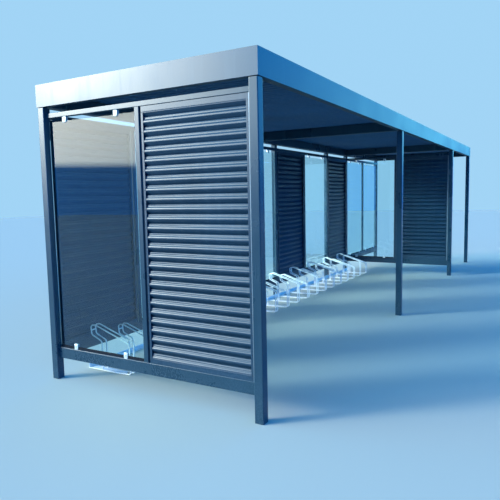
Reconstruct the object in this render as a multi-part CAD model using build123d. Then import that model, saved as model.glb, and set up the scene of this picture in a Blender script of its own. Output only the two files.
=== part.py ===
from build123d import *
import math
import os

# Bike shelter of powder-coated steel with a flat roof. All lengths are in millimetres.
# The origin lies on the floor under the middle of the roof. The bays follow each other along X,
# from the near end at -X to the open far end at +X. The open front faces -Y, the back wall is at +Y.

# Overall sizes, over the outer faces of the corner posts and from the floor to the top of the roof
length = 9475
width = 2100
height = 2500

# Rhythm of the long sides. The back wall has equal panels, and a line is the edge of a panel,
# counted from the near end. Front posts may stand between two lines. The racks fill the first
# panels, and the cross wall stands where they end.
back_panel_count = 9
back_post_lines = [0, 2, 4, 6, 7, 9]
front_post_lines = [0, 3.5, 7, 9]
racked_panel_count = 7
back_louvre_panels = [0, 2, 4, 6]

# Posts: square tube with a foot plate, a cap, and a smaller spacer plate that carries the beam
post_size = 70
post_wall = 4
post_radius = 7
foot_plate_thickness = 10
cap_thickness = 6
spacer_thickness = 8
spacer_inset = 15
vent_hole_radius = 10

# Roof beams: one size of tube for the edges and for the cross beams
beam_width = 70
beam_height = 120
beam_wall = 4
beam_radius = 7

# Fascia: folded sheet in front of the edge beams, hooked under them and turned in at the top
fascia_sheet = 2
fascia_stand_off = 5
fascia_height = 182
fascia_hook = 12
fascia_top_flange = 70
fascia_lip = 15

# Roof deck: trapezoidal sheet on the beams, with its ribs across the shelter
deck_sheet = 1
deck_depth = 18
deck_rib_spacing = 80
deck_flat_share = 0.35

# Walls: rails between the posts, mullions between the rails
rail_depth = 40
rail_wall = 3
rail_radius = 4
top_rail_height = 40
top_rail_gap = 54
bottom_rail_height = 95
bottom_rail_clearance = 185
mullion_width = 44

# Louvre panels: a frame of channel section round one sheet that is folded into ribs. From its lower
# edge up, a rib has an upright lip, a face that leans in, an upright brow, and a ledge that runs in
# and rises a little. From there the sheet slopes out again to the next lip.
louvre_side_gap = 20
louvre_top_gap = 2
louvre_depth = 36
stile_width = 25
frame_bar_height = 38
frame_sheet = 2
rib_sheet = 2
rib_pitch = 71.5
rib_lip_height = 9
rib_face_height = 24
rib_face_depth = 9
rib_brow_height = 7
rib_ledge_depth = 19
rib_ledge_rise = 1

# Glass panes, the clamps that hold them, and the strip that closes the joint under them
glass_thickness = 8
glass_side_gap = 8
glass_top_gap = 33
glass_strip_height = 20
glass_strip_depth = 12
clamp_width = 42
clamp_height = 60
clamp_depth = 38
clamp_inset = 190
clamp_edge = 2

# Wheel racks: loops of round bar in pairs, each pair on a flat foot. The feet of one unit are
# welded to an angle that lies on the floor against the back posts. The heights are those of a
# high loop, and every second loop is lower.
holders_per_panel = 3
holders_per_unit = 5
unit_joint_gap = 2
loop_bar_diameter = 12
loop_bar_spacing = 55
loop_bend_radius = 28
low_loop_drop = 70
loop_front_reach = 510
loop_foot_return = 80
loop_back_clearance = 46
loop_front_height = 282
loop_crest_height = 412
loop_crest_depth = 60
loop_rear_height = 405
loop_hook_height = 318
loop_hook_depth = 10
loop_leg_height = 270
loop_leg_set_back = 131
tie_set_back = 6
tie_height = 360
foot_bar_width = 66
foot_bar_thickness = 8
foot_hole_radius = 6
foot_hole_inset = 45
angle_leg = 40
angle_thickness = 4

# Levels and lines that follow from the sizes above
half_length = length / 2
half_width = width / 2
panel_module = (length - post_size) / back_panel_count
beam_bottom = height - fascia_height + fascia_sheet
beam_top = beam_bottom + beam_height
bottom_rail_top = bottom_rail_clearance + bottom_rail_height
top_rail_top = beam_bottom - top_rail_gap
top_rail_bottom = top_rail_top - top_rail_height
back_wall_y = half_width - post_size + rail_depth / 2
end_wall_x = -half_length + post_size - rail_depth / 2

OUTSIDE_NEAR_END = -90
OUTSIDE_BACK = 180


def line_x(line):
    """Centre line of the post or mullion at a panel line of the back wall."""
    return -half_length + post_size / 2 + line * panel_module


cross_wall_x = line_x(racked_panel_count) + post_size / 2 - rail_depth / 2

os.makedirs("parts", exist_ok=True)


def save(shape, node):
    export_step(shape, "parts/" + node + ".step")


def square_tube(size_x, size_y, tube_length, wall, radius):
    """Tube along Z with rounded corners, standing on the XY plane."""
    outside = RectangleRounded(size_x, size_y, radius)
    inside = RectangleRounded(size_x - 2 * wall, size_y - 2 * wall, max(radius - wall, wall / 4))
    return extrude(outside - inside, tube_length)


def folded_sheet(points, sheet):
    """Face of a folded sheet: the polyline of its middle line, thickened with mitred folds."""
    vectors = [Vector(x, y) for x, y in points]
    left = []
    right = []
    for i, point in enumerate(vectors):
        before = vectors[i] - vectors[i - 1] if i > 0 else vectors[1] - vectors[0]
        after = vectors[i + 1] - vectors[i] if i < len(vectors) - 1 else before
        normal_before = Vector(-before.Y, before.X).normalized()
        normal_after = Vector(-after.Y, after.X).normalized()
        mitre = (normal_before + normal_after).normalized()
        reach = sheet / 2 / mitre.dot(normal_before)
        left.append(point + mitre * reach)
        right.append(point - mitre * reach)
    return make_face(Polyline(*left, *reversed(right), close=True))


def beam_along_x(beam_length, depth, beam_size, wall, radius):
    """Tube along X, centred on the origin."""
    tube = square_tube(beam_size, depth, beam_length, wall, radius)
    return Pos(-beam_length / 2, 0, 0) * Rot(0, 90, 0) * tube


# Posts


def post():
    tube_top = beam_bottom - spacer_thickness
    spacer_size = post_size - 2 * spacer_inset
    outline = RectangleRounded(post_size, post_size, post_radius)
    body = square_tube(post_size, post_size, tube_top, post_wall, post_radius)
    body += extrude(outline, foot_plate_thickness)
    body += Pos(0, 0, tube_top - cap_thickness) * extrude(outline, cap_thickness)
    body += Pos(0, 0, tube_top) * extrude(Rectangle(spacer_size, spacer_size), spacer_thickness)
    vent_depth = cap_thickness + spacer_thickness
    vent = extrude(Circle(vent_hole_radius), vent_depth)
    return body - Pos(0, 0, beam_bottom - vent_depth) * vent


def make_posts():
    front_y = -half_width + post_size / 2
    back_y = half_width - post_size / 2
    for number, line in enumerate(front_post_lines, start=1):
        save(Pos(line_x(line), front_y, 0) * post(), f"front_post_{number}")
    for number, line in enumerate(back_post_lines, start=1):
        save(Pos(line_x(line), back_y, 0) * post(), f"back_post_{number}")


# Roof beams


def make_beams():
    beam_z = beam_bottom + beam_height / 2
    edge_y = half_width - beam_width / 2
    end_x = half_length - beam_width / 2
    edge_beam = beam_along_x(length, beam_width, beam_height, beam_wall, beam_radius)
    save(Pos(0, -edge_y, beam_z) * edge_beam, "front_beam")
    save(Pos(0, edge_y, beam_z) * edge_beam, "back_beam")
    across = width - 2 * beam_width
    cross_beam = Rot(0, 0, 90) * beam_along_x(across, beam_width, beam_height, beam_wall, beam_radius)
    save(Pos(-end_x, 0, beam_z) * cross_beam, "near_end_beam")
    save(Pos(end_x, 0, beam_z) * cross_beam, "far_end_beam")
    for number, line in enumerate(front_post_lines[1:-1], start=1):
        save(Pos(line_x(line), 0, beam_z) * cross_beam, f"cross_beam_{number}")


# Fascia


def fascia_profile():
    """Folded section with the outer face on the Y axis, the inside at +X and the hook at Y = 0."""
    half = fascia_sheet / 2
    inner_end = fascia_stand_off + fascia_hook
    return folded_sheet(
        [
            (inner_end, half),
            (half, half),
            (half, fascia_height - half),
            (fascia_top_flange, fascia_height - half),
            (fascia_top_flange, fascia_height - fascia_lip),
        ],
        fascia_sheet,
    )


def fascia_side(side_length, outer_distance):
    """Fascia of the side that faces -Y, mitred at both ends."""
    section = Plane(origin=(-side_length / 2, -outer_distance, 0), x_dir=(0, 1, 0), z_dir=(1, 0, 0))
    strip = extrude(section * fascia_profile(), side_length)
    reach = fascia_top_flange + fascia_sheet + fascia_stand_off
    plan = Polyline(
        (-side_length / 2, -outer_distance),
        (side_length / 2, -outer_distance),
        (side_length / 2 - reach, -outer_distance + reach),
        (-side_length / 2 + reach, -outer_distance + reach),
        close=True,
    )
    return Pos(0, 0, height - fascia_height) * (strip & extrude(make_face(plan), fascia_height))


def make_fascia():
    outer_length = length + 2 * fascia_stand_off
    outer_width = width + 2 * fascia_stand_off
    long_side = fascia_side(outer_length, outer_width / 2)
    short_side = fascia_side(outer_width, outer_length / 2)
    save(long_side, "front_fascia")
    save(Rot(0, 0, 180) * long_side, "back_fascia")
    save(Rot(0, 0, -90) * short_side, "near_end_fascia")
    save(Rot(0, 0, 90) * short_side, "far_end_fascia")


# Roof deck


def make_roof_deck():
    rib_count = round(length / deck_rib_spacing)
    spacing = length / rib_count
    flat = spacing * deck_flat_share
    slope = spacing / 2 - flat
    low = deck_sheet / 2
    high = deck_depth - deck_sheet / 2
    points = [(-half_length, low)]
    for rib in range(rib_count):
        middle = -half_length + (rib + 0.5) * spacing
        points += [
            (middle - flat / 2 - slope, low),
            (middle - flat / 2, high),
            (middle + flat / 2, high),
            (middle + flat / 2 + slope, low),
        ]
    points += [(half_length, low)]
    section = Plane(origin=(0, half_width, beam_top), x_dir=(1, 0, 0), z_dir=(0, -1, 0))
    save(extrude(section * folded_sheet(points, deck_sheet), width), "roof_deck")


# Rails and mullions of the walls


def make_rails():
    top_z = top_rail_bottom + top_rail_height / 2
    bottom_z = bottom_rail_clearance + bottom_rail_height / 2
    mullion_length = top_rail_bottom - bottom_rail_top
    mullion = square_tube(mullion_width, rail_depth, mullion_length, rail_wall, rail_radius)

    clear_width = width - 2 * post_size
    for wall, wall_x in (("near_wall", end_wall_x), ("cross_wall", cross_wall_x)):
        for rail, rail_height, rail_z in (
            ("top_rail", top_rail_height, top_z),
            ("bottom_rail", bottom_rail_height, bottom_z),
        ):
            bar = beam_along_x(clear_width, rail_depth, rail_height, rail_wall, rail_radius)
            save(Pos(wall_x, 0, rail_z) * Rot(0, 0, 90) * bar, f"{wall}_{rail}")
        save(Pos(wall_x, 0, bottom_rail_top) * Rot(0, 0, 90) * mullion, f"{wall}_mullion")

    top_bars = []
    bottom_bars = []
    for first, last in zip(back_post_lines, back_post_lines[1:]):
        clear_length = (last - first) * panel_module - post_size
        middle_x = line_x((first + last) / 2)
        top = beam_along_x(clear_length, rail_depth, top_rail_height, rail_wall, rail_radius)
        bottom = beam_along_x(clear_length, rail_depth, bottom_rail_height, rail_wall, rail_radius)
        top_bars.append(Pos(middle_x, back_wall_y, top_z) * top)
        bottom_bars.append(Pos(middle_x, back_wall_y, bottom_z) * bottom)
    save(Compound(top_bars), "back_wall_top_rails")
    save(Compound(bottom_bars), "back_wall_bottom_rails")

    mullion_lines = [line for line in range(back_panel_count) if line not in back_post_lines]
    mullions = [Pos(line_x(line), back_wall_y, bottom_rail_top) * mullion for line in mullion_lines]
    save(Compound(mullions), "back_wall_mullions")


# Louvre panels


def louvre_frame(panel_width, panel_height):
    """Ring of channel section, open towards the posts and rails, its outer side at -Y."""
    centre = Pos(0, 0, panel_height / 2)
    opening_width = panel_width - 2 * stile_width
    opening_height = panel_height - 2 * frame_bar_height
    ring = Box(panel_width, louvre_depth, panel_height) - Box(opening_width, louvre_depth, opening_height)
    groove = Box(panel_width, louvre_depth - 2 * frame_sheet, panel_height)
    groove -= Box(opening_width + 2 * frame_sheet, louvre_depth, opening_height + 2 * frame_sheet)
    return centre * (ring - groove)


def louvre_sheet(sheet_length, sheet_height):
    """Ribbed sheet along X with its lower edge at Z = 0. Above the last whole rib it ends in a lip."""
    lip_y = -(rib_face_depth + rib_ledge_depth + rib_sheet) / 2
    brow_y = lip_y + rib_face_depth
    ledge_y = brow_y + rib_ledge_depth
    rib_count = math.ceil(sheet_height / rib_pitch) - 1
    points = []
    for rib in range(rib_count):
        lip_bottom = rib * rib_pitch
        lip_top = lip_bottom + rib_lip_height
        brow_bottom = lip_top + rib_face_height
        brow_top = brow_bottom + rib_brow_height
        points += [
            (lip_y, lip_bottom),
            (lip_y, lip_top),
            (brow_y, brow_bottom),
            (brow_y, brow_top),
            (ledge_y, brow_top + rib_ledge_rise),
        ]
    points += [(lip_y, rib_count * rib_pitch), (lip_y, sheet_height)]
    plane = Plane(origin=(-sheet_length / 2, 0, 0), x_dir=(0, 1, 0), z_dir=(1, 0, 0))
    return extrude(plane * folded_sheet(points, rib_sheet), sheet_length)


def louvre_panel(clear_width):
    """Whole panel, centred on X and standing on Z = 0."""
    panel_width = clear_width - 2 * louvre_side_gap
    panel_height = top_rail_bottom - louvre_top_gap - bottom_rail_top
    sheet_length = panel_width - 2 * stile_width
    sheet_height = panel_height - 2 * frame_bar_height
    sheet = Pos(0, 0, frame_bar_height) * louvre_sheet(sheet_length, sheet_height)
    return louvre_frame(panel_width, panel_height) + sheet


# Glass panels


def glass_pane(clear_width):
    """Pane centred on X, at its height above the bottom rail."""
    pane_height = top_rail_bottom - glass_top_gap - bottom_rail_top - glass_strip_height
    pane = Box(clear_width - 2 * glass_side_gap, glass_thickness, pane_height)
    return Pos(0, 0, glass_strip_height + pane_height / 2) * pane


def glass_clamps(clear_width):
    """Two clamps at the foot and two at the head of a pane, each grooved for the glass."""
    offset = clear_width / 2 - glass_side_gap - clamp_inset
    head_z = top_rail_bottom - bottom_rail_top - clamp_height / 2
    block = Box(clamp_width, clamp_depth, clamp_height)
    block = fillet(block.edges().filter_by(Axis.Z), clamp_edge)
    pane = glass_pane(clear_width)
    places = [(x, z) for z in (clamp_height / 2, head_z) for x in (-offset, offset)]
    return [Pos(x, 0, z) * block - pane for x, z in places]


def glass_strips(clear_width):
    """Strip under the pane, in three lengths between and beside the foot clamps."""
    pane_width = clear_width - 2 * glass_side_gap
    between = pane_width - 2 * clamp_inset - clamp_width
    beside = clamp_inset - clamp_width / 2
    beside_x = pane_width / 2 - beside / 2
    pieces = [(0, between), (-beside_x, beside), (beside_x, beside)]
    z = glass_strip_height / 2
    return [Pos(x, 0, z) * Box(size, glass_strip_depth, glass_strip_height) for x, size in pieces]


def member_half_width(line):
    return (post_size if line in back_post_lines else mullion_width) / 2


def panel_places():
    """Every panel as its kind, node ending, clear width, and place on top of the bottom rail."""
    end_clear = (width - 2 * post_size - mullion_width) / 2
    end_centre = (end_clear + mullion_width) / 2
    places = []
    for wall, wall_x in (("near", end_wall_x), ("cross", cross_wall_x)):
        for kind, panel_y in (("louvre", -end_centre), ("glass", end_centre)):
            where = Pos(wall_x, panel_y, bottom_rail_top) * Rot(0, 0, OUTSIDE_NEAR_END)
            places.append((kind, wall, end_clear, where))
    numbers = {"louvre": 0, "glass": 0}
    for panel in range(back_panel_count):
        kind = "louvre" if panel in back_louvre_panels else "glass"
        numbers[kind] += 1
        left = line_x(panel) + member_half_width(panel)
        right = line_x(panel + 1) - member_half_width(panel + 1)
        where = Pos((left + right) / 2, back_wall_y, bottom_rail_top) * Rot(0, 0, OUTSIDE_BACK)
        places.append((kind, f"back_{numbers[kind]}", right - left, where))
    return places


def make_panels():
    clamps = []
    strips = []
    for kind, name, clear_width, where in panel_places():
        if kind == "louvre":
            save(where * louvre_panel(clear_width), f"louvre_{name}")
        else:
            save(where * glass_pane(clear_width), f"glass_{name}")
            clamps += [where * clamp for clamp in glass_clamps(clear_width)]
            strips += [where * strip for strip in glass_strips(clear_width)]
    save(Compound(clamps), "glass_clamps")
    save(Compound(strips), "glass_strips")


# Wheel racks


def wheel_loop(drop):
    """One bar of a wheel loop in the YZ plane, from the front of the foot bar round to its rear leg."""
    back = half_width - post_size - loop_back_clearance
    front = half_width - post_size - loop_front_reach
    ground = loop_bar_diameter / 2
    path = FilletPolyline(
        (0, front + loop_foot_return, ground),
        (0, front, ground),
        (0, front, loop_front_height - drop),
        (0, back - loop_crest_depth, loop_crest_height - drop),
        (0, back, loop_rear_height - drop),
        (0, back - loop_hook_depth, loop_hook_height - drop),
        (0, back - loop_leg_set_back, loop_leg_height - drop),
        (0, back - loop_leg_set_back, foot_bar_thickness),
        radius=loop_bend_radius,
    )
    start = Plane(origin=path @ 0, z_dir=path % 0)
    return sweep(start * Circle(loop_bar_diameter / 2), path)


def rack_angle(start_x, end_x):
    """Angle along X with its upright leg against the back posts."""
    back = half_width - post_size
    middle_x = (start_x + end_x) / 2
    angle_length = end_x - start_x
    flat_leg = Box(angle_length, angle_leg, angle_thickness)
    upright_leg = Box(angle_length, angle_thickness, angle_leg)
    return Pos(middle_x, back - angle_leg / 2, angle_thickness / 2) * flat_leg + Pos(
        middle_x, back - angle_thickness / 2, angle_leg / 2
    ) * upright_leg


def rack_foot():
    """Flat foot of one pair of loops, from the angle forward, with a bolt hole near its front end."""
    foot_back = half_width - post_size - angle_leg
    foot_front = half_width - post_size - loop_front_reach + loop_foot_return
    level = foot_bar_thickness / 2
    foot = Box(foot_bar_width, foot_back - foot_front, foot_bar_thickness)
    foot = Pos(0, (foot_back + foot_front) / 2, level) * foot
    hole = Cylinder(foot_hole_radius, foot_bar_thickness)
    return foot - Pos(0, foot_front + foot_hole_inset, level) * hole


def make_racks():
    holder_count = racked_panel_count * holders_per_panel - 1
    unit_count = holder_count // holders_per_unit
    high_loop = wheel_loop(0)
    low_loop = wheel_loop(low_loop_drop)
    foot = rack_foot()
    tie = Rot(0, 90, 0) * Cylinder(loop_bar_diameter / 2, loop_bar_spacing - loop_bar_diameter)
    tie_y = half_width - post_size - loop_back_clearance - tie_set_back

    angles = []
    feet = []
    loops = []
    ties = []
    for unit in range(unit_count):
        first = unit * holders_per_unit + 1
        last = first + holders_per_unit - 1
        start_line = 0 if unit == 0 else (first - 0.5) / holders_per_panel
        end_line = racked_panel_count if unit == unit_count - 1 else (last + 0.5) / holders_per_panel
        start_x = line_x(start_line) + unit_joint_gap / 2
        end_x = line_x(end_line) - unit_joint_gap / 2
        angles.append(rack_angle(start_x, end_x))
        for holder in range(first, last + 1):
            x = line_x(holder / holders_per_panel)
            is_low = holder % 2 == 0
            loop = low_loop if is_low else high_loop
            tie_z = tie_height - low_loop_drop if is_low else tie_height
            feet.append(Pos(x, 0, 0) * foot)
            loops += [Pos(x + side * loop_bar_spacing / 2, 0, 0) * loop for side in (-1, 1)]
            ties.append(Pos(x, tie_y, tie_z) * tie)
    save(Compound(angles), "rack_angles")
    save(Compound(feet), "rack_feet")
    save(Compound(loops), "rack_wheel_loops")
    save(Compound(ties), "rack_ties")


make_posts()
make_beams()
make_fascia()
make_roof_deck()
make_rails()
make_panels()
make_racks()
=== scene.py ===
import math

import bpy
from mathutils import Matrix, Vector


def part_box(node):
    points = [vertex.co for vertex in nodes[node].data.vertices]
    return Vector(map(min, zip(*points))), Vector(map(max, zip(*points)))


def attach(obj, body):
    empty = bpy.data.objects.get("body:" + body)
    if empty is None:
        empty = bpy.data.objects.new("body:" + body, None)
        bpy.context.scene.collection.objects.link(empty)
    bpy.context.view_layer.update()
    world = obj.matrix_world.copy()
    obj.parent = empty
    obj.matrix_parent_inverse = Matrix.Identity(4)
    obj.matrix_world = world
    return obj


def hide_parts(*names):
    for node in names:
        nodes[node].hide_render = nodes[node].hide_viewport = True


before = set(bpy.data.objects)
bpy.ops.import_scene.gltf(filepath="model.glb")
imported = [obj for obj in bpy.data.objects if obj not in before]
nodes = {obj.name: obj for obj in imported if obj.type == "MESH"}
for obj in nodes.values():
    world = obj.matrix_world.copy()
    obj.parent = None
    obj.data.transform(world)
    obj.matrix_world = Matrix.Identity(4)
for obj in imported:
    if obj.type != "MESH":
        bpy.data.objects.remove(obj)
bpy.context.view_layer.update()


# View: the camera stands outside the front, near the end wall, at eye height, where the photograph
# was taken from. Its place, turn and lens come from the measured corners of posts and fascia.

VIEW_PLACE = Vector((-7.7715, -2.7259, 1.5515))
VIEW_YAW, VIEW_PITCH, VIEW_ROLL = 0.52473, 0.1013, -0.01969
VIEW_LENS = 38.195
SENSOR_WIDTH = 36.0
VIEW_REACH = 200.0

level_part = math.cos(VIEW_PITCH)
forward = Vector((
    math.cos(VIEW_YAW) * level_part, math.sin(VIEW_YAW) * level_part, -math.sin(VIEW_PITCH)
))
level_right = Vector((math.sin(VIEW_YAW), -math.cos(VIEW_YAW), 0.0))
level_up = level_right.cross(forward)
view_right = math.cos(VIEW_ROLL) * level_right + math.sin(VIEW_ROLL) * level_up
view_up = -math.sin(VIEW_ROLL) * level_right + math.cos(VIEW_ROLL) * level_up
view_turn = Matrix((view_right, view_up, -forward)).transposed().to_4x4()

bpy.ops.object.select_all(action="DESELECT")
bpy.ops.object.camera_add()
camera = bpy.context.object
camera.name = "camera"
camera.matrix_world = Matrix.Translation(VIEW_PLACE) @ view_turn
camera.data.lens = VIEW_LENS
camera.data.sensor_width = SENSOR_WIDTH
camera.data.clip_end = VIEW_REACH
bpy.context.scene.camera = camera


# Floor and light: a plain pale floor under a wide soft sky. The sky is pale and bright round the low
# sun at the back left, pale again beyond the far end, and blue in front of the open side. A plain
# tone is what the camera sees behind the shelter and through the glass.

FLOOR_SIZE = 80.0
FLOOR_DROP = 0.0006
FLOOR_COLOUR = (0.45, 0.47, 0.41, 1.0)
FLOOR_ROUGHNESS = 0.9
FLOOR_SHINE = 0.0
SUN_FROM = Vector((-0.62, 0.74, 0.30)).normalized()
SUN_COLOUR = (0.86, 0.96, 0.93)
SUN_STRENGTH = 3.4
SUN_ANGLE = math.radians(11.0)
GLOW_COLOUR = (1.8, 3.8, 5.0, 1.0)
GLOW_REACH, GLOW_FALLOFF = 0.15, 3.0
HAZE_COLOUR = (9.0, 9.5, 8.8, 1.0)
HAZE_REACH, HAZE_CORE = math.cos(math.radians(24.0)), math.cos(math.radians(9.0))
HAZE_FOOT, HAZE_FULL = 0.055, 0.068
FAR_END_WAY = Vector((1.0, -0.16, 0.06)).normalized()
FAR_END_REACH = 0.94
FAR_END_PALE = (0.75, 3.30, 4.70, 1.0)
HORIZON_BLUE = (0.01, 0.35, 1.50, 1.0)
LOW_BLUE = (0.03, 1.20, 3.60, 1.0)
LOW_BLUE_FOOT, LOW_BLUE_FULL = 0.10, 0.26
HIGH_BLUE = (0.01, 0.14, 0.70, 1.0)
HIGH_BLUE_FOOT, HIGH_BLUE_FULL = 0.30, 0.70
SEEN_SKY = (0.36, 0.66, 0.92, 1.0)


def new_material(name):
    """A new material, with its node tree and its shader."""
    material = bpy.data.materials.new(name)
    material.use_nodes = True
    return material, material.node_tree, material.node_tree.nodes["Principled BSDF"]


def remap_node(tree, value, low, high, to_low=0.0, to_high=1.0):
    """A value mapped from one range to another and clamped."""
    remap = tree.nodes.new("ShaderNodeMapRange")
    remap.inputs["From Min"].default_value = low
    remap.inputs["From Max"].default_value = high
    remap.inputs["To Min"].default_value = to_low
    remap.inputs["To Max"].default_value = to_high
    tree.links.new(value, remap.inputs["Value"])
    return remap.outputs["Result"]


def math_node(tree, operation, first, second):
    """Two values, sockets or numbers, joined by a math operation."""
    node = tree.nodes.new("ShaderNodeMath")
    node.operation = operation
    for socket, value in zip(node.inputs, (first, second)):
        if isinstance(value, (int, float)):
            socket.default_value = value
        else:
            tree.links.new(value, socket)
    return node.outputs[0]


def mix_node(tree, factor, first, second):
    """Two colours mixed by a factor; each is a socket or a plain colour."""
    mix = tree.nodes.new("ShaderNodeMix")
    mix.data_type = "RGBA"
    for name, value in (("Factor", factor), ("A", first), ("B", second)):
        if isinstance(value, tuple):
            mix.inputs[name].default_value = value
        else:
            tree.links.new(value, mix.inputs[name])
    return mix.outputs["Result"]


def upward_node(tree, vector):
    """How far a vector goes up: its Z."""
    split = tree.nodes.new("ShaderNodeSeparateXYZ")
    tree.links.new(vector, split.inputs[0])
    return split.outputs["Z"]


def toward_node(tree, way, direction, low, high=1.0):
    """How much a way points in a direction: 0 at the low cosine, and 1 at the high one."""
    toward = tree.nodes.new("ShaderNodeVectorMath")
    toward.operation = "DOT_PRODUCT"
    toward.inputs[1].default_value = direction
    tree.links.new(way, toward.inputs[0])
    return remap_node(tree, toward.outputs["Value"], low, high)


bpy.ops.mesh.primitive_plane_add(size=FLOOR_SIZE, location=(0.0, 0.0, -FLOOR_DROP))
floor = bpy.context.object
floor.name = "floor"
floor_paint, _, floor_shader = new_material("pale_floor")
floor_shader.inputs["Base Color"].default_value = FLOOR_COLOUR
floor_shader.inputs["Roughness"].default_value = FLOOR_ROUGHNESS
floor_shader.inputs["Specular IOR Level"].default_value = FLOOR_SHINE
floor.data.materials.append(floor_paint)

sky = bpy.data.worlds.new("pale_sky")
sky.use_nodes = True
bpy.context.scene.world = sky
sky_tree = sky.node_tree
sky_way = sky_tree.nodes.new("ShaderNodeTexCoord").outputs["Generated"]
sky_rise = upward_node(sky_tree, sky_way)
low_part = remap_node(sky_tree, sky_rise, LOW_BLUE_FOOT, LOW_BLUE_FULL)
high_part = remap_node(sky_tree, sky_rise, HIGH_BLUE_FOOT, HIGH_BLUE_FULL)
haze_part = remap_node(sky_tree, sky_rise, HAZE_FOOT, HAZE_FULL)
far_end = toward_node(sky_tree, sky_way, FAR_END_WAY, FAR_END_REACH)
glow = math_node(sky_tree, "POWER", toward_node(sky_tree, sky_way, SUN_FROM, GLOW_REACH), GLOW_FALLOFF)
haze = toward_node(sky_tree, sky_way, SUN_FROM, HAZE_REACH, HAZE_CORE)
lit_sky = mix_node(sky_tree, low_part, HORIZON_BLUE, LOW_BLUE)
lit_sky = mix_node(sky_tree, high_part, lit_sky, HIGH_BLUE)
for part, paler in ((far_end, FAR_END_PALE), (glow, GLOW_COLOUR), (haze, HAZE_COLOUR)):
    lit_sky = mix_node(sky_tree, math_node(sky_tree, "MULTIPLY", part, haze_part), lit_sky, paler)
ray = sky_tree.nodes.new("ShaderNodeLightPath").outputs
seen = math_node(sky_tree, "MAXIMUM", ray["Is Camera Ray"], ray["Is Transmission Ray"])
background = sky_tree.nodes["Background"]
sky_tree.links.new(mix_node(sky_tree, seen, lit_sky, SEEN_SKY), background.inputs["Color"])

bpy.ops.object.light_add(type="SUN")
sun = bpy.context.object
sun.name = "soft_sun"
sun.rotation_euler = SUN_FROM.to_track_quat("Z", "Y").to_euler()
sun.data.energy = SUN_STRENGTH
sun.data.angle = SUN_ANGLE
sun.data.color = SUN_COLOUR

bpy.context.scene.view_settings.view_transform = "Standard"
bpy.context.scene.view_settings.look = "None"


# Posts, roof beams, wall rails and mullions: square steel tube in a satin blue-grey powder coat.
# The coat has a fine orange peel, faint rain streaks, and splashed dust near the floor. Faces that
# look up hold more dust, and the undersides, which no rain washes, are duller.

PEEL_SCALE, PEEL_STRENGTH = 420.0, 0.25
CLOUD_SCALE, CLOUD_RANGE = 1.7, (0.3, 0.7)
CLOUD_SHADES = (0.86, 1.12)
CLOUD_ROUGHNESS = (-0.03, 0.04)
STREAK_SCALE, STREAK_STRETCH, STREAK_RANGE = 22.0, (1.0, 1.0, 0.06), (0.52, 0.78)
STREAK_STRENGTH = 0.35
SPECK_SCALE = 90.0
SPLASH_TOP, SPLASH_SPECKS = 0.55, (0.38, 0.68)
LYING_FACES, LYING_DUST, LYING_SPECKS = (0.55, 0.95), 0.8, (0.25, 0.6)
UNDERSIDES, UNDERSIDE_ROUGHNESS = (-0.55, -0.95), 0.4
DUST_ROUGHNESS = 0.4
COAT_IOR = 1.5
TUBE_COLOUR = (0.004, 0.031, 0.056, 1.0)
TUBE_DUST = (0.16, 0.24, 0.29, 1.0)


def add_socket(group, name, kind, is_output=False, value=None):
    """One named input or output of a shader node group."""
    side = "OUTPUT" if is_output else "INPUT"
    socket = group.interface.new_socket(name=name, in_out=side, socket_type=kind)
    if value is not None:
        socket.default_value = value
    return socket


def own_place(tree):
    """Where a point of the piece is, in the frame of the model."""
    return tree.nodes.new("ShaderNodeTexCoord").outputs["Object"]


def noise_node(tree, coordinates, scale, detail, stretch=(1.0, 1.0, 1.0)):
    """A noise texture on the given coordinates, stretched along the axes."""
    mapping = tree.nodes.new("ShaderNodeMapping")
    mapping.inputs["Scale"].default_value = stretch
    tree.links.new(coordinates, mapping.inputs["Vector"])
    noise = tree.nodes.new("ShaderNodeTexNoise")
    noise.inputs["Scale"].default_value = scale
    noise.inputs["Detail"].default_value = detail
    tree.links.new(mapping.outputs["Vector"], noise.inputs["Vector"])
    return noise.outputs["Fac"]


def bump_surface(tree, shader, height, strength, depth):
    """Fine relief of a surface, raised by a height pattern."""
    bump = tree.nodes.new("ShaderNodeBump")
    bump.inputs["Strength"].default_value = strength
    bump.inputs["Distance"].default_value = depth
    tree.links.new(height, bump.inputs["Height"])
    tree.links.new(bump.outputs["Normal"], shader.inputs["Normal"])


weathered_coat = bpy.data.node_groups.new("weathered_coat", "ShaderNodeTree")
add_socket(weathered_coat, "Coat", "NodeSocketColor", value=(0.05, 0.1, 0.14, 1.0))
add_socket(weathered_coat, "Dust", "NodeSocketColor", value=(0.35, 0.38, 0.4, 1.0))
add_socket(weathered_coat, "Dust Amount", "NodeSocketFloat", value=0.5)
add_socket(weathered_coat, "Gloss", "NodeSocketFloat", value=0.35)
add_socket(weathered_coat, "Color", "NodeSocketColor", is_output=True)
add_socket(weathered_coat, "Roughness", "NodeSocketFloat", is_output=True)
add_socket(weathered_coat, "Height", "NodeSocketFloat", is_output=True)
inputs = weathered_coat.nodes.new("NodeGroupInput").outputs
outputs = weathered_coat.nodes.new("NodeGroupOutput").inputs
place = own_place(weathered_coat)
peel = noise_node(weathered_coat, place, PEEL_SCALE, detail=2.0)
cloud = noise_node(weathered_coat, place, CLOUD_SCALE, detail=4.0)
streak = noise_node(weathered_coat, place, STREAK_SCALE, detail=3.0, stretch=STREAK_STRETCH)
speck = noise_node(weathered_coat, place, SPECK_SCALE, detail=3.0)
facing = weathered_coat.nodes.new("ShaderNodeNewGeometry").outputs["Normal"]
facing_up = upward_node(weathered_coat, facing)

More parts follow.
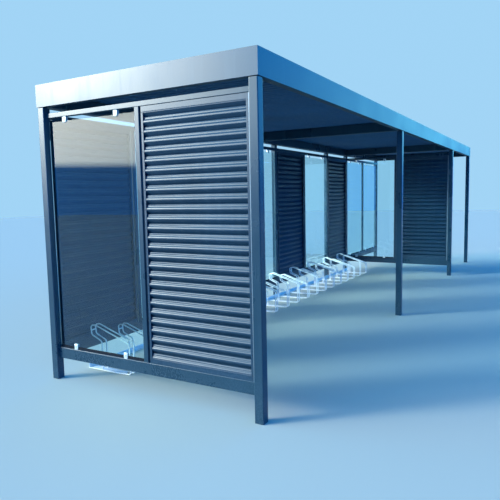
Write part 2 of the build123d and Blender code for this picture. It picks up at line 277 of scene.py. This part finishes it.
near_floor = remap_node(weathered_coat, upward_node(weathered_coat, place), SPLASH_TOP, 0.0)
splash_specks = remap_node(weathered_coat, speck, *SPLASH_SPECKS)
splash = math_node(weathered_coat, "MULTIPLY", near_floor, splash_specks)
runs = remap_node(weathered_coat, streak, *STREAK_RANGE)
runs = math_node(weathered_coat, "MULTIPLY", runs, STREAK_STRENGTH)
lying = remap_node(weathered_coat, facing_up, *LYING_FACES, 0.0, LYING_DUST)
lying_specks = remap_node(weathered_coat, speck, *LYING_SPECKS)
settled = math_node(weathered_coat, "MULTIPLY", lying, lying_specks)
soil = math_node(weathered_coat, "MAXIMUM", math_node(weathered_coat, "MAXIMUM", splash, runs), settled)
soil = math_node(weathered_coat, "MULTIPLY", soil, inputs["Dust Amount"])

tinted = weathered_coat.nodes.new("ShaderNodeVectorMath")
tinted.operation = "SCALE"
weathered_coat.links.new(inputs["Coat"], tinted.inputs[0])
weathered_coat.links.new(
    remap_node(weathered_coat, cloud, *CLOUD_RANGE, *CLOUD_SHADES), tinted.inputs["Scale"]
)
colour = mix_node(weathered_coat, soil, tinted.outputs["Vector"], inputs["Dust"])
rough = inputs["Gloss"]
for more in (
    math_node(weathered_coat, "MULTIPLY", soil, DUST_ROUGHNESS),
    remap_node(weathered_coat, cloud, *CLOUD_RANGE, *CLOUD_ROUGHNESS),
    remap_node(weathered_coat, facing_up, *UNDERSIDES, 0.0, UNDERSIDE_ROUGHNESS),
):
    rough = math_node(weathered_coat, "ADD", rough, more)
weathered_coat.links.new(colour, outputs["Color"])
weathered_coat.links.new(rough, outputs["Roughness"])
weathered_coat.links.new(peel, outputs["Height"])


def coat_material(name, coat, dust, dust_amount, gloss, peel_depth):
    """A powder coat: its own colour and gloss, with the shared weathering."""
    material, tree, shader = new_material(name)
    coat_group = tree.nodes.new("ShaderNodeGroup")
    coat_group.node_tree = weathered_coat
    coat_group.inputs["Coat"].default_value = coat
    coat_group.inputs["Dust"].default_value = dust
    coat_group.inputs["Dust Amount"].default_value = dust_amount
    coat_group.inputs["Gloss"].default_value = gloss
    tree.links.new(coat_group.outputs["Color"], shader.inputs["Base Color"])
    tree.links.new(coat_group.outputs["Roughness"], shader.inputs["Roughness"])
    bump_surface(tree, shader, coat_group.outputs["Height"], PEEL_STRENGTH, peel_depth)
    shader.inputs["IOR"].default_value = COAT_IOR
    return material


def give(material, *names):
    """CAD nodes get this material in all their slots."""
    for name in names:
        for slot in nodes[name].material_slots:
            slot.material = material


tube_coat = coat_material(
    "blue_grey_powder_coat", TUBE_COLOUR, TUBE_DUST, dust_amount=0.15, gloss=0.28, peel_depth=0.0003
)
give(
    tube_coat,
    "front_post_1", "front_post_2", "front_post_3", "front_post_4",
    "back_post_1", "back_post_2", "back_post_3", "back_post_4", "back_post_5", "back_post_6",
    "front_beam", "back_beam", "near_end_beam", "far_end_beam", "cross_beam_1", "cross_beam_2",
    "near_wall_top_rail", "near_wall_bottom_rail", "near_wall_mullion",
    "cross_wall_top_rail", "cross_wall_bottom_rail", "cross_wall_mullion",
    "back_wall_top_rails", "back_wall_bottom_rails", "back_wall_mullions",
)


# Fascia and roof deck: the fascia is smooth folded sheet in the same kind of coat, and the deck is
# trapezoidal sheet with a thin polyester coat, which is bluer, duller and dustier.

FASCIA_COLOUR = (0.006, 0.044, 0.082, 1.0)
FASCIA_DUST = (0.14, 0.22, 0.27, 1.0)
DECK_COLOUR = (0.010, 0.082, 0.190, 1.0)
DECK_DUST = (0.12, 0.18, 0.23, 1.0)

fascia_coat = coat_material(
    "fascia_powder_coat", FASCIA_COLOUR, FASCIA_DUST, dust_amount=0.3, gloss=0.35, peel_depth=0.0002
)
give(fascia_coat, "front_fascia", "back_fascia", "near_end_fascia", "far_end_fascia")
deck_coat = coat_material(
    "deck_coil_coat", DECK_COLOUR, DECK_DUST, dust_amount=0.8, gloss=0.45, peel_depth=0.0004
)
give(deck_coat, "roof_deck")


# Louvre panels: one thin sheet rolled into ribs, in a channel frame with the same kind of coat. Each
# rib has a round lip, a face that leans in, and a brow that rolls back into a ledge.

LOUVRE_COLOUR = (0.003, 0.028, 0.058, 1.0)
LOUVRE_DUST = (0.14, 0.22, 0.27, 1.0)
FIRST_RIB_Z = 0.318
RIB_PITCH = 0.0715
RIB_COUNT = 26
NEAR_A_BEND = 0.0013
LIP_TOP, LIP_RISE = 0.009, 0.003
BROW_BOTTOM, BROW_DROP = 0.033, 0.009
BROW_TOP_OUTSIDE, BROW_TOP_INSIDE = 0.040, 0.038
LIP_ROLL, BROW_FOOT_ROLL, LIP_FOOT_ROLL = 0.005, 0.003, 0.002
BROW_ROLL_OUTSIDE, BROW_ROLL_INSIDE = 0.0065, 0.0045
ROLL_STEPS = 4
STILE_FROM, STILE_TO, STILE_TRIM = 0.022, 0.026, 0.007
SAME_POINT = 1e-5
ONE_FLAT_FACE = math.radians(0.5)
RIB_LENGTH_AT_LEAST = 0.1
RIB_SMOOTH_UNDER = math.radians(32.0)


def merged_copy(node_name, name):
    """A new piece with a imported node's shape, open in edit mode, its loose triangles merged."""
    bpy.ops.object.select_all(action="DESELECT")
    piece = bpy.data.objects.new(name, nodes[node_name].data.copy())
    bpy.context.scene.collection.objects.link(piece)
    piece.select_set(True)
    bpy.context.view_layer.objects.active = piece
    bpy.ops.object.mode_set(mode="EDIT")
    bpy.ops.mesh.select_all(action="SELECT")
    bpy.ops.mesh.remove_doubles(threshold=SAME_POINT)
    return piece


def pick(piece, kind, wanted):
    """Opens a piece in edit mode with the points, edges or faces selected that are wanted."""
    bpy.ops.object.mode_set(mode="EDIT")
    bpy.ops.mesh.select_mode(type=kind)
    bpy.ops.mesh.select_all(action="DESELECT")
    bpy.ops.object.mode_set(mode="OBJECT")
    mesh = piece.data
    for part in {"VERT": mesh.vertices, "EDGE": mesh.edges, "FACE": mesh.polygons}[kind]:
        part.select = wanted(part)
    bpy.ops.object.mode_set(mode="EDIT")


def move_points(piece, wanted, shift):
    """Moves the wanted points of a piece."""
    pick(piece, "VERT", wanted)
    bpy.ops.transform.translate(value=shift)
    bpy.ops.object.mode_set(mode="OBJECT")


def is_bend(z, level, first_rib=0):
    """Whether a height is that of a bend at this level of a whole rib."""
    rib = math.floor((z - FIRST_RIB_Z + NEAR_A_BEND) / RIB_PITCH)
    rise = z - FIRST_RIB_Z - rib * RIB_PITCH
    return first_rib <= rib < RIB_COUNT and abs(rise - level) < NEAR_A_BEND


def roll_bend(panel, level, width, first_rib):
    """Rounds the long edges of a panel at this level of each rib."""
    def on_the_bend(edge):
        start, end = (panel.data.vertices[i].co for i in edge.vertices)
        run = end - start
        along = abs(run.z) < SAME_POINT and min(abs(run.x), abs(run.y)) < SAME_POINT
        return along and run.length > RIB_LENGTH_AT_LEAST and is_bend(start.z, level, first_rib)

    pick(panel, "EDGE", on_the_bend)
    bpy.ops.mesh.bevel(offset=width, segments=ROLL_STEPS, affect="EDGES")


def shift_bend(panel, level, rise):
    """Moves a bend of each rib up or down, through the thickness of the sheet."""
    move_points(panel, lambda point: is_bend(point.co.z, level), (0.0, 0.0, rise))


def stands_along(low, high):
    """Whether a panel between these corners stands along the shelter, and not across it."""
    return high.x - low.x > high.y - low.y


def trim_stiles(panel, low, high):
    """Makes both stiles narrower and the ribs as much longer, by moving the stiles' inner sides."""
    way = 0 if stands_along(low, high) else 1
    for end, outward in ((low[way], -1), (high[way], 1)):
        shift = [0.0, 0.0, 0.0]
        shift[way] = outward * STILE_TRIM
        move_points(panel, lambda point: STILE_FROM < abs(point.co[way] - end) < STILE_TO, shift)


def roll_panel(name):
    """Replaces a packed louvre panel by a copy with its faces leant further in and its bends rolled."""
    panel = merged_copy(name, "rolled_" + name)
    bpy.ops.mesh.dissolve_limited(angle_limit=ONE_FLAT_FACE)
    bpy.ops.object.mode_set(mode="OBJECT")
    shift_bend(panel, LIP_TOP, LIP_RISE)
    shift_bend(panel, BROW_BOTTOM, -BROW_DROP)
    trim_stiles(panel, *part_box(name))
    rolls = (
        (BROW_TOP_OUTSIDE, BROW_ROLL_OUTSIDE, 0),
        (BROW_TOP_INSIDE, BROW_ROLL_INSIDE, 0),
        (LIP_TOP + LIP_RISE, LIP_ROLL, 0),
        (BROW_BOTTOM - BROW_DROP, BROW_FOOT_ROLL, 0),
        (0.0, LIP_FOOT_ROLL, 1),
    )
    for level, width, first_rib in rolls:
        roll_bend(panel, level, width, first_rib)
    bpy.ops.object.mode_set(mode="OBJECT")
    bpy.ops.object.shade_smooth_by_angle(angle=RIB_SMOOTH_UNDER)
    panel.modifiers.new("flat_faces_flat", "WEIGHTED_NORMAL").keep_sharp = True
    bpy.ops.object.modifier_apply(modifier="flat_faces_flat")
    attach(panel, "root")
    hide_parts(name)


louvre_coat = coat_material(
    "louvre_powder_coat", LOUVRE_COLOUR, LOUVRE_DUST, dust_amount=0.2, gloss=0.32, peel_depth=0.0002
)
louvres = (
    "louvre_near", "louvre_cross", "louvre_back_1", "louvre_back_2", "louvre_back_3", "louvre_back_4",
)
give(louvre_coat, *louvres)
for name in louvres:
    roll_panel(name)


# Post strips: a flat zinc strip that closes the joint between a louvre stile and the post beside it,
# its long edges slightly rounded. The joint on the mullion's side stays open.

STRIP_REACH = 0.0195
STRIP_THICKNESS = 0.003
STRIP_ROUNDING = 0.0008
PANEL_POST_SIDES = (
    ("louvre_near", -1), ("louvre_cross", -1), ("louvre_back_1", -1), ("louvre_back_2", -1),
    ("louvre_back_3", -1), ("louvre_back_4", -1), ("louvre_back_4", 1),
)
STRIP_METALLIC = 0.8
STRIP_CLOUD_SCALE, STRIP_CLOUD_STRETCH = 40.0, (1.0, 1.0, 0.2)
STRIP_DARK, STRIP_LIGHT = (0.13, 0.17, 0.21, 1.0), (0.22, 0.27, 0.32, 1.0)
STRIP_ROUGHNESS = (0.5, 0.36)
MIDDLE_TONES = (0.3, 0.7)


def sized_block(size, middle):
    """A block of this size round its middle."""
    bpy.ops.object.select_all(action="DESELECT")
    bpy.ops.mesh.primitive_cube_add(size=1.0, location=middle)
    block = bpy.context.object
    block.scale = size
    bpy.ops.object.transform_apply(location=True, rotation=True, scale=True)
    return block


def joined(pieces, name):
    """Several pieces made one, under one name."""
    bpy.ops.object.select_all(action="DESELECT")
    for piece in pieces:
        piece.select_set(True)
    bpy.context.view_layer.objects.active = pieces[0]
    bpy.ops.object.join()
    whole = bpy.context.object
    whole.name = name
    return whole


def tone_surface(tree, shader, pattern, dark, light, pattern_range, roughness):
    """Colour and roughness of a surface, both led by one pattern."""
    tree.links.new(mix_node(tree, pattern, dark, light), shader.inputs["Base Color"])
    tree.links.new(remap_node(tree, pattern, *pattern_range, *roughness), shader.inputs["Roughness"])


def post_strip(name, side):
    """One strip beside a panel, flush with the stile."""
    low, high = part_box(name)
    rise = high.z - low.z
    middle_z = (low.z + high.z) / 2
    if stands_along(low, high):
        start = low.x - STRIP_REACH if side < 0 else high.x
        middle = (start + STRIP_REACH / 2, high.y - STRIP_THICKNESS / 2, middle_z)
        strip = sized_block((STRIP_REACH, STRIP_THICKNESS, rise), middle)
    else:
        start = low.y - STRIP_REACH if side < 0 else high.y
        middle = (low.x + STRIP_THICKNESS / 2, start + STRIP_REACH / 2, middle_z)
        strip = sized_block((STRIP_THICKNESS, STRIP_REACH, rise), middle)
    bpy.ops.object.mode_set(mode="EDIT")
    bpy.ops.mesh.select_all(action="SELECT")
    bpy.ops.mesh.bevel(offset=STRIP_ROUNDING, segments=2, affect="EDGES")
    bpy.ops.object.mode_set(mode="OBJECT")
    return strip


post_strips = joined([post_strip(name, side) for name, side in PANEL_POST_SIDES], "louvre_post_strips")
strip_zinc, strip_tree, strip_shader = new_material("zinc_strip")
strip_shader.inputs["Metallic"].default_value = STRIP_METALLIC
strip_cloud = noise_node(
    strip_tree, own_place(strip_tree), STRIP_CLOUD_SCALE, detail=4.0, stretch=STRIP_CLOUD_STRETCH
)
tone_surface(
    strip_tree, strip_shader, strip_cloud, STRIP_DARK, STRIP_LIGHT, MIDDLE_TONES, STRIP_ROUGHNESS
)
post_strips.data.materials.append(strip_zinc)
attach(post_strips, "root")


# Louvre screws: small pan heads of blackened steel with a rounded top edge, one at every second rib in
# both stiles of each panel, which hold the ribs in the frame.

SCREW_SIDES = 16
SCREW_RADIUS = 0.004
SCREW_HEIGHT = 0.0026
LOOKS_UP = 0.9
SCREW_ROUNDING = 0.0009
SCREW_FROM_EDGE = 0.006
FIRST_SCREW_Z = 0.320
SCREW_PITCH = 0.143
SCREW_ROWS = 14
SCREW_METALLIC = 0.8
SCREW_GRAIN_SCALE = 900.0
SCREW_DARK, SCREW_LIGHT = (0.01, 0.013, 0.02, 1.0), (0.05, 0.06, 0.075, 1.0)
SCREW_ROUGHNESS = (0.3, 0.5)
WIDE_TONES = (0.2, 0.8)


def round_blank(sides, radius, height):
    """A short round blank for the head of a fastener, standing on its seat."""
    bpy.ops.object.select_all(action="DESELECT")
    bpy.ops.mesh.primitive_cylinder_add(
        vertices=sides, radius=radius, depth=height, location=(0.0, 0.0, height / 2)
    )
    return bpy.context.object


def copies(original, turns, name):
    """One piece of many copies of a finished shape, each placed by its own matrix; the original goes."""
    made = []
    for turn in turns:
        copy = bpy.data.objects.new(name, original.data.copy())
        copy.data.transform(turn)
        bpy.context.scene.collection.objects.link(copy)
        made.append(copy)
    whole = joined(made, name)
    bpy.data.objects.remove(original)
    return whole


def facing_turn(place, outward):
    """Matrix that puts a shape made along +Z at a place, pointing outwards."""
    turn = Vector(outward).to_track_quat("Z", "Y").to_matrix().to_4x4()
    return Matrix.Translation(Vector(place)) @ turn


screw = round_blank(SCREW_SIDES, SCREW_RADIUS, SCREW_HEIGHT)
pick(screw, "FACE", lambda face: face.normal.z > LOOKS_UP)
bpy.ops.mesh.bevel(offset=SCREW_ROUNDING, segments=2, affect="EDGES")
bpy.ops.object.mode_set(mode="OBJECT")

screw_turns = []
for name in louvres:
    low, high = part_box(name)
    for row in range(SCREW_ROWS):
        z = FIRST_SCREW_Z + row * SCREW_PITCH
        if stands_along(low, high):
            for x in (low.x + SCREW_FROM_EDGE, high.x - SCREW_FROM_EDGE):
                screw_turns.append(facing_turn((x, high.y, z), (0, 1, 0)))
        else:
            for y in (low.y + SCREW_FROM_EDGE, high.y - SCREW_FROM_EDGE):
                screw_turns.append(facing_turn((low.x, y, z), (-1, 0, 0)))
louvre_screws = copies(screw, screw_turns, "louvre_screws")

screw_metal, screw_tree, screw_shader = new_material("blackened_screw_steel")
screw_shader.inputs["Metallic"].default_value = SCREW_METALLIC
screw_grain = noise_node(screw_tree, own_place(screw_tree), SCREW_GRAIN_SCALE, detail=2.0)
tone_surface(
    screw_tree, screw_shader, screw_grain, SCREW_DARK, SCREW_LIGHT, WIDE_TONES, SCREW_ROUGHNESS
)
louvre_screws.data.materials.append(screw_metal)
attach(louvre_screws, "root")


# Glass panes: clear toughened glass of 8 mm with polished edges, which lets the sun through to the
# racks and the floor. Rain has left faint streaks on it.

GLASS_IOR = 1.5
GLASS_STREAK_SCALE, GLASS_STREAK_STRETCH = 16.0, (1.0, 1.0, 0.08)
GLASS_STREAK_RANGE = (0.45, 0.8)
GLASS_TINT, GLASS_PALE_TINT = (0.66, 0.86, 0.88, 1.0), (0.74, 0.91, 0.93, 1.0)
GLASS_ROUGHNESS = (0.0, 0.05)
SUNLIT_GLASS_TINT = (0.78, 0.90, 0.91, 1.0)

panes = (
    "glass_near", "glass_cross",
    "glass_back_1", "glass_back_2", "glass_back_3", "glass_back_4", "glass_back_5",
)
glass, glass_tree, glass_shader = new_material("toughened_glass")
glass_shader.inputs["Transmission Weight"].default_value = 1.0
glass_shader.inputs["IOR"].default_value = GLASS_IOR
glass_streak = noise_node(
    glass_tree, own_place(glass_tree), GLASS_STREAK_SCALE, detail=4.0, stretch=GLASS_STREAK_STRETCH
)
tone_surface(
    glass_tree, glass_shader, glass_streak, GLASS_TINT, GLASS_PALE_TINT,
    GLASS_STREAK_RANGE, GLASS_ROUGHNESS,
)
sunlit_glass = glass_tree.nodes.new("ShaderNodeBsdfTransparent")
sunlit_glass.inputs["Color"].default_value = SUNLIT_GLASS_TINT
glass_light = glass_tree.nodes.new("ShaderNodeLightPath")
glass_mix = glass_tree.nodes.new("ShaderNodeMixShader")
glass_tree.links.new(glass_light.outputs["Is Shadow Ray"], glass_mix.inputs["Fac"])
glass_tree.links.new(glass_shader.outputs["BSDF"], glass_mix.inputs[1])
glass_tree.links.new(sunlit_glass.outputs["BSDF"], glass_mix.inputs[2])
glass_tree.links.new(glass_mix.outputs["Shader"], glass_tree.nodes["Material Output"].inputs["Surface"])
give(glass, *panes)


# Glass clamps: small satin stainless blocks, two on the bottom rail and two under the top rail of
# each pane. Each has its free edges rounded and a groove from its free end that takes the glass.

CLAMP_WIDTH, CLAMP_DEPTH, CLAMP_HEIGHT = 0.040, 0.024, 0.045
CLAMP_ROUNDING = 0.0016
CLAMP_SMOOTH_UNDER = math.radians(30.0)
GLASS_GROOVE = 0.0084
CLAMP_INSET = 0.190
CLAMP_METALLIC = 0.85
BRUSHING_SCALE, BRUSHING_STRETCH = 700.0, (1.0, 1.0, 0.05)
BRUSHING_STRENGTH, BRUSHING_DEPTH = 0.2, 0.0002
CLAMP_DARK, CLAMP_LIGHT = (0.40, 0.46, 0.51, 1.0), (0.56, 0.62, 0.67, 1.0)
CLAMP_ROUGHNESS = (0.38, 0.52)


def clamp_block(groove_depth):
    """A clamp standing on the rail, with a groove for the pane from its free end."""
    cutter = sized_block((2 * CLAMP_WIDTH, GLASS_GROOVE, 2 * groove_depth), (0.0, 0.0, CLAMP_HEIGHT))
    block = sized_block((CLAMP_WIDTH, CLAMP_DEPTH, CLAMP_HEIGHT), (0.0, 0.0, CLAMP_HEIGHT / 2))
    pick(block, "EDGE", lambda edge: any(
        block.data.vertices[i].co.z > CLAMP_HEIGHT / 2 for i in edge.vertices
    ))
    bpy.ops.mesh.bevel(offset=CLAMP_ROUNDING, segments=3, affect="EDGES")
    bpy.ops.object.mode_set(mode="OBJECT")
    groove = block.modifiers.new("glass_groove", "BOOLEAN")
    groove.operation = "DIFFERENCE"
    groove.solver = "EXACT"
    groove.object = cutter
    bpy.ops.object.modifier_apply(modifier="glass_groove")
    bpy.data.objects.remove(cutter)
    bpy.ops.object.shade_smooth_by_angle(angle=CLAMP_SMOOTH_UNDER)
    return block


def clamp_places(name):
    """Where the clamps of a pane are along it, its matrix turn, and the way that its one face looks."""
    low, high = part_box(name)
    middle = (low + high) / 2
    if stands_along(low, high):
        spots = [(x, middle.y) for x in (low.x + CLAMP_INSET, high.x - CLAMP_INSET)]
        return spots, Matrix.Identity(4), (0, 1)
    spots = [(middle.x, y) for y in (low.y + CLAMP_INSET, high.y - CLAMP_INSET)]
    return spots, Matrix.Rotation(math.pi / 2, 4, "Z"), (1, 0)


low_rail_top, high_rail_bottom = (corner.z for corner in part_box("glass_clamps"))
pane_foot, pane_head = (corner.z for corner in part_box("glass_near"))
upside_down = Matrix.Rotation(math.pi, 4, "X")
foot_turns, head_turns = [], []
for name in panes:
    spots, turn, _ = clamp_places(name)
    for x, y in spots:
        foot_turns.append(Matrix.Translation((x, y, low_rail_top)) @ turn)
        head_turns.append(Matrix.Translation((x, y, high_rail_bottom)) @ turn @ upside_down)
foot_clamps = copies(clamp_block(low_rail_top + CLAMP_HEIGHT - pane_foot), foot_turns, "foot_clamps")
head_clamps = copies(clamp_block(pane_head - high_rail_bottom + CLAMP_HEIGHT), head_turns, "head_clamps")
clamp_blocks = joined([foot_clamps, head_clamps], "grooved_glass_clamps")

clamp_metal, clamp_tree, clamp_shader = new_material("satin_stainless")
clamp_shader.inputs["Metallic"].default_value = CLAMP_METALLIC
brushing = noise_node(
    clamp_tree, own_place(clamp_tree), BRUSHING_SCALE, detail=3.0, stretch=BRUSHING_STRETCH
)
tone_surface(
    clamp_tree, clamp_shader, brushing, CLAMP_DARK, CLAMP_LIGHT, MIDDLE_TONES, CLAMP_ROUGHNESS
)
bump_surface(clamp_tree, clamp_shader, brushing, BRUSHING_STRENGTH, BRUSHING_DEPTH)
give(clamp_metal, "glass_clamps")
clamp_blocks.data.materials.append(clamp_metal)
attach(clamp_blocks, "root")
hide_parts("glass_clamps")


# Glass strips: matt black rubber under each pane, which beds its lower edge along the bottom rail.
# Dust lies on it in faint clouds.

RUBBER_SHINE = 0.15
RUBBER_CLOUD_SCALE = 60.0
RUBBER_DARK, RUBBER_LIGHT = (0.003, 0.005, 0.009, 1.0), (0.012, 0.016, 0.024, 1.0)
RUBBER_ROUGHNESS = (0.75, 0.95)

rubber, rubber_tree, rubber_shader = new_material("black_rubber_strip")
rubber_shader.inputs["Specular IOR Level"].default_value = RUBBER_SHINE
rubber_cloud = noise_node(rubber_tree, own_place(rubber_tree), RUBBER_CLOUD_SCALE, detail=4.0)
tone_surface(
    rubber_tree, rubber_shader, rubber_cloud, RUBBER_DARK, RUBBER_LIGHT, MIDDLE_TONES, RUBBER_ROUGHNESS
)
give(rubber, "glass_strips")


# Clamp bolts: stainless button heads, rounded all over, one on both faces of each clamp, which pull
# it together on the glass.

BOLT_SIDES = 24
BOLT_RADIUS = 0.0075
BOLT_HEIGHT = 0.004
BOLT_ROUNDING = 0.0022
BOLT_LEVELS = (0.307, 2.200)

bolt = round_blank(BOLT_SIDES, BOLT_RADIUS, BOLT_HEIGHT)
bpy.ops.object.mode_set(mode="EDIT")
bpy.ops.mesh.select_all(action="SELECT")
bpy.ops.mesh.bevel(offset=BOLT_ROUNDING, segments=3, affect="EDGES")
bpy.ops.object.mode_set(mode="OBJECT")

bolt_turns = []
for name in panes:
    spots, _, (way_x, way_y) = clamp_places(name)
    for z in BOLT_LEVELS:
        for side in (-1, 1):
            out = side * CLAMP_DEPTH / 2
            for x, y in spots:
                seat = (x + way_x * out, y + way_y * out, z)
                bolt_turns.append(facing_turn(seat, (side * way_x, side * way_y, 0)))
clamp_bolts = copies(bolt, bolt_turns, "clamp_bolts")
clamp_bolts.data.materials.append(clamp_metal)
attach(clamp_bolts, "root")


# Wheel racks: bent round bar in pairs, welded to flat feet and an angle, hot-dip galvanised after
# welding, so the zinc shows its spangle in dull and bright patches.

ZINC_METALLIC = 0.15
SPANGLE_SCALE, SPANGLE_PART = 110.0, 0.35
PATCH_SCALE, PATCH_PART = 14.0, 0.65
PATCH_STRENGTH, PATCH_DEPTH = 0.2, 0.0003
ZINC_DULL, ZINC_BRIGHT = (0.64, 0.66, 0.65, 1.0), (0.92, 0.93, 0.91, 1.0)
ZINC_ROUGHNESS = (0.6, 0.42)

zinc, zinc_tree, zinc_shader = new_material("galvanised_zinc")
zinc_shader.inputs["Metallic"].default_value = ZINC_METALLIC
zinc_place = own_place(zinc_tree)
spangle = zinc_tree.nodes.new("ShaderNodeTexVoronoi")
spangle.inputs["Scale"].default_value = SPANGLE_SCALE
zinc_tree.links.new(zinc_place, spangle.inputs["Vector"])
spangle_tone = zinc_tree.nodes.new("ShaderNodeSeparateColor")
zinc_tree.links.new(spangle.outputs["Color"], spangle_tone.inputs[0])
spangles = math_node(zinc_tree, "MULTIPLY", spangle_tone.outputs["Red"], SPANGLE_PART)
patches = noise_node(zinc_tree, zinc_place, PATCH_SCALE, detail=4.0)
tone = math_node(zinc_tree, "ADD", spangles, math_node(zinc_tree, "MULTIPLY", patches, PATCH_PART))
tone_surface(zinc_tree, zinc_shader, tone, ZINC_DULL, ZINC_BRIGHT, WIDE_TONES, ZINC_ROUGHNESS)
bump_surface(zinc_tree, zinc_shader, patches, PATCH_STRENGTH, PATCH_DEPTH)
give(zinc, "rack_angles", "rack_feet", "rack_ties", "rack_wheel_loops")


# Rack angles: the angles that the feet are welded to, galvanised with the rack. The first one is cut
# off flush with the first foot, so that the floor beside the corner post stays free.

ANGLE_TRIM = 0.3145
NEAR_AN_END = 0.001

cut_angles = merged_copy("rack_angles", "cut_rack_angles")
angle_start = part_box("rack_angles")[0].x
move_points(cut_angles, lambda point: point.co.x < angle_start + NEAR_AN_END, (ANGLE_TRIM, 0.0, 0.0))
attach(cut_angles, "root")
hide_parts("rack_angles")


# Wheel loops: two round bars to a loop, each bent in one piece from its front foot up to a round nose
# and down to its rear leg, and welded to the feet. Every second loop is lower than its neighbours.

BAR_RADIUS = 0.006
BAR_SIDES = 12
BAR_SMOOTH_UNDER = math.radians(40.0)
BEND_RADIUS = 0.028
BEND_STEP = math.radians(15.0)
LOW_LOOP_DROP = 0.070
LOOP_COUNT = 20
FIRST_LINE_X = -4.7025
LOOP_PITCH = 1.045 / 3
HALF_BAR_SPACING = 0.0275
LOOP_ROUTE = (
    (0.550, 0.006), (0.470, 0.006), (0.470, 0.282), (0.874, 0.412),
    (0.934, 0.405), (0.924, 0.318), (0.803, 0.270), (0.803, 0.008),
)
LEVEL_CORNERS = 2


def bent_bar(points):
    """A round bar pushed along straight runs and spun round its bends, with closed ends."""
    points = [Vector(point) for point in points]
    bpy.ops.object.select_all(action="DESELECT")
    first_turn = (points[1] - points[0]).to_track_quat("Z", "X").to_euler()
    bpy.ops.mesh.primitive_circle_add(
        vertices=BAR_SIDES, radius=BAR_RADIUS, fill_type="NGON", location=points[0], rotation=first_turn
    )
    bar = bpy.context.object
    bpy.ops.object.transform_apply(location=True, rotation=True, scale=True)
    bpy.ops.object.mode_set(mode="EDIT")
    bpy.ops.mesh.select_mode(type="FACE")
    bpy.ops.mesh.select_all(action="SELECT")
    here = points[0]
    for before, corner, after in zip(points, points[1:], points[2:]):
        way_in = (corner - before).normalized()
        way_out = (after - corner).normalized()
        bend = way_in.angle(way_out)
        trim = BEND_RADIUS * math.tan(bend / 2)
        bend_start = corner - way_in * trim
        bpy.ops.mesh.extrude_region_move(TRANSFORM_OT_translate={"value": bend_start - here})
        axis = way_in.cross(way_out).normalized()
        centre = bend_start + axis.cross(way_in) * BEND_RADIUS
        steps = max(2, round(bend / BEND_STEP))
        bpy.ops.mesh.spin(steps=steps, angle=-bend, center=centre, axis=axis)
        here = corner + way_out * trim
    bpy.ops.mesh.extrude_region_move(TRANSFORM_OT_translate={"value": points[-1] - here})
    bpy.ops.mesh.select_all(action="SELECT")
    bpy.ops.mesh.normals_make_consistent(inside=False)
    bpy.ops.object.mode_set(mode="OBJECT")
    bpy.ops.object.shade_smooth_by_angle(angle=BAR_SMOOTH_UNDER)
    return bar


def loop_route(drop):
    """Corners of one bar's middle line; those on the floor stay level, and the rest come down."""
    lowered = range(LEVEL_CORNERS, len(LOOP_ROUTE) - 1)
    return [(0.0, y, z - drop if i in lowered else z) for i, (y, z) in enumerate(LOOP_ROUTE)]


def bar_pairs(middles, drop, name):
    """Both bars of each loop, on either side of its middle."""
    places = [
        Matrix.Translation((x + side * HALF_BAR_SPACING, 0, 0)) for x in middles for side in (-1, 1)
    ]
    return copies(bent_bar(loop_route(drop)), places, name)


loop_middles = [FIRST_LINE_X + LOOP_PITCH * (i + 1) for i in range(LOOP_COUNT)]
high_loops = bar_pairs(loop_middles[0::2], 0.0, "high_loops")
low_loops = bar_pairs(loop_middles[1::2], LOW_LOOP_DROP, "low_loops")
wheel_loops = joined([high_loops, low_loops], "wheel_loops")
wheel_loops.data.materials.append(zinc)
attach(wheel_loops, "root")
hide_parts("rack_wheel_loops")


# Weld beads: a small uneven bead of weld round each rear leg where it stands on the foot, and round
# both ends of each tie, galvanised with the rack.

BEAD_RING_RADIUS, BEAD_RING_SIDES = 0.0068, 18
BEAD_RADIUS, BEAD_SIDES = 0.0022, 6
BEAD_FLATNESS = 0.8
BEAD_UNEVENNESS = 0.0004
LEG_Y = 0.803
FOOT_TOP = 0.0085
TIE_Y = 0.928
HIGH_TIE_Z = 0.360

bpy.ops.object.select_all(action="DESELECT")
bpy.ops.mesh.primitive_torus_add(
    major_radius=BEAD_RING_RADIUS, minor_radius=BEAD_RADIUS,
    major_segments=BEAD_RING_SIDES, minor_segments=BEAD_SIDES,
)
bead = bpy.context.object
bpy.ops.object.mode_set(mode="EDIT")
bpy.ops.mesh.select_all(action="SELECT")
bpy.ops.transform.resize(value=(1.0, 1.0, BEAD_FLATNESS))
bpy.ops.transform.vertex_random(offset=BEAD_UNEVENNESS, uniform=0.5, normal=0.3, seed=3)
bpy.ops.object.mode_set(mode="OBJECT")
bpy.ops.object.shade_smooth()

bead_places = []
for i, x in enumerate(loop_middles):
    tie_z = HIGH_TIE_Z - (LOW_LOOP_DROP if i % 2 else 0.0)
    for side in (-1, 1):
        bead_places.append(facing_turn((x + side * HALF_BAR_SPACING, LEG_Y, FOOT_TOP), (0, 0, 1)))
        tie_end = x + side * (HALF_BAR_SPACING - BAR_RADIUS)
        bead_places.append(facing_turn((tie_end, TIE_Y, tie_z), (side, 0, 0)))
weld_beads = copies(bead, bead_places, "weld_beads")
weld_beads.data.materials.append(zinc)
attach(weld_beads, "root")
